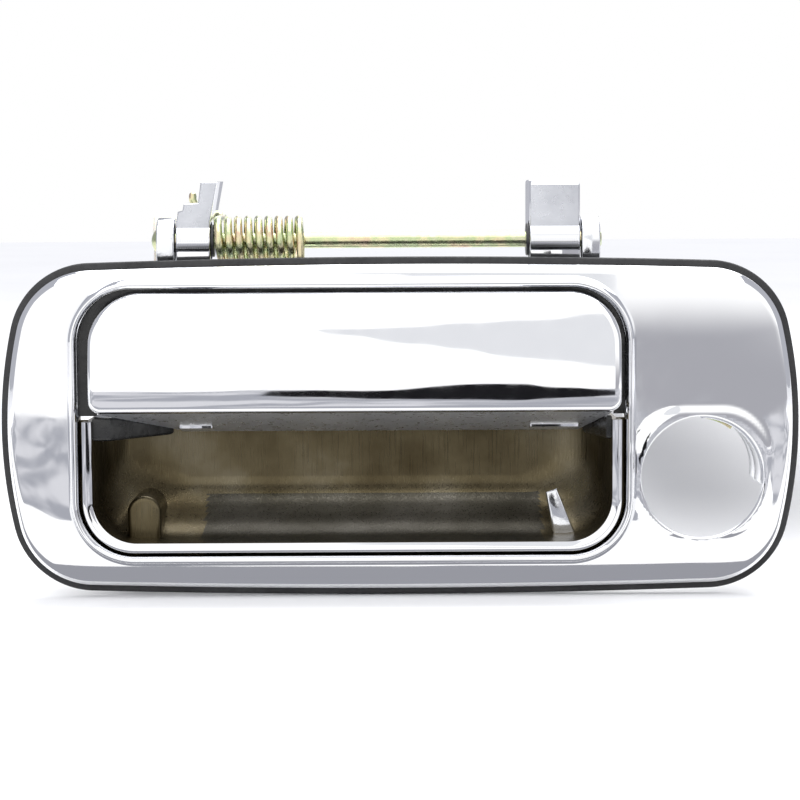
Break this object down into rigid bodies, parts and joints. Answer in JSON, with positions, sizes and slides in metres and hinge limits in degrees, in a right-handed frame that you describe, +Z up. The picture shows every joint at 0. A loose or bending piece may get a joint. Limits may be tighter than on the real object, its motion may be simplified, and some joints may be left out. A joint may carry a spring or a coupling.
{
  "type": "car door handle",
  "caption": "Flush outside door handle: a hinged pull paddle over a finger cup in an oval bezel with a round lock hole, on a rubber gasket.",
  "frame": {"origin": "middle of the bezel's oval outline, on the gasket's face that meets the door skin", "axes": "+X along the handle towards the lock hole, +Y into the door, +Z up towards the hinge pin"},
  "size_m": [0.1992, 0.0429, 0.1034],
  "materials": {
    "chrome_casting": "mirror chrome plate on a zinc casting",
    "cup_metal": "thin satin plate with fine upright brushing, slightly warm",
    "gasket_rubber": "matt black moulded rubber",
    "stop_rubber": "smooth black moulded rubber",
    "yellow_zinc": "yellow passivated zinc plate with faint green and pink tints",
    "plain_steel": "bright zinc-plated steel",
    "bush_plastic": "black bearing plastic",
    "clip_nylon": "natural nylon"
  },
  "bodies": {
    "bezel_body": {"bezel": "chrome_casting", "finger_cup": "cup_metal", "cup_screws": "plain_steel", "gasket": "gasket_rubber", "thread_inserts": "plain_steel", "lock_clip": "yellow_zinc", "left_bump_stop": "stop_rubber", "right_bump_stop": "stop_rubber", "paddle_seal": "stop_rubber", "hinge_pin": "yellow_zinc", "return_spring": "yellow_zinc"},
    "paddle_body": {"paddle": "chrome_casting", "left_hub_bush": "bush_plastic", "right_hub_bush": "bush_plastic"},
    "rod_clip_body": {"rod_clip": "clip_nylon"}
  },
  "joints": [
    {"name": "paddle_pull", "type": "hinge", "parent": "bezel_body", "child": "paddle_body", "pos_m": [0, 0.009, 0.0462], "axis": [-1, 0, 0], "range_deg": [0, 20], "stiffness_Nm_per_rad": 0.6, "springref_deg": -28.65, "deforming": ["return_spring"]},
    {"name": "rod_clip_swivel", "type": "hinge", "parent": "paddle_body", "child": "rod_clip_body", "pos_m": [-0.0596, 0.0225, 0.0482], "axis": [1, 0, 0], "range_deg": [-5, 35]}
  ]
}
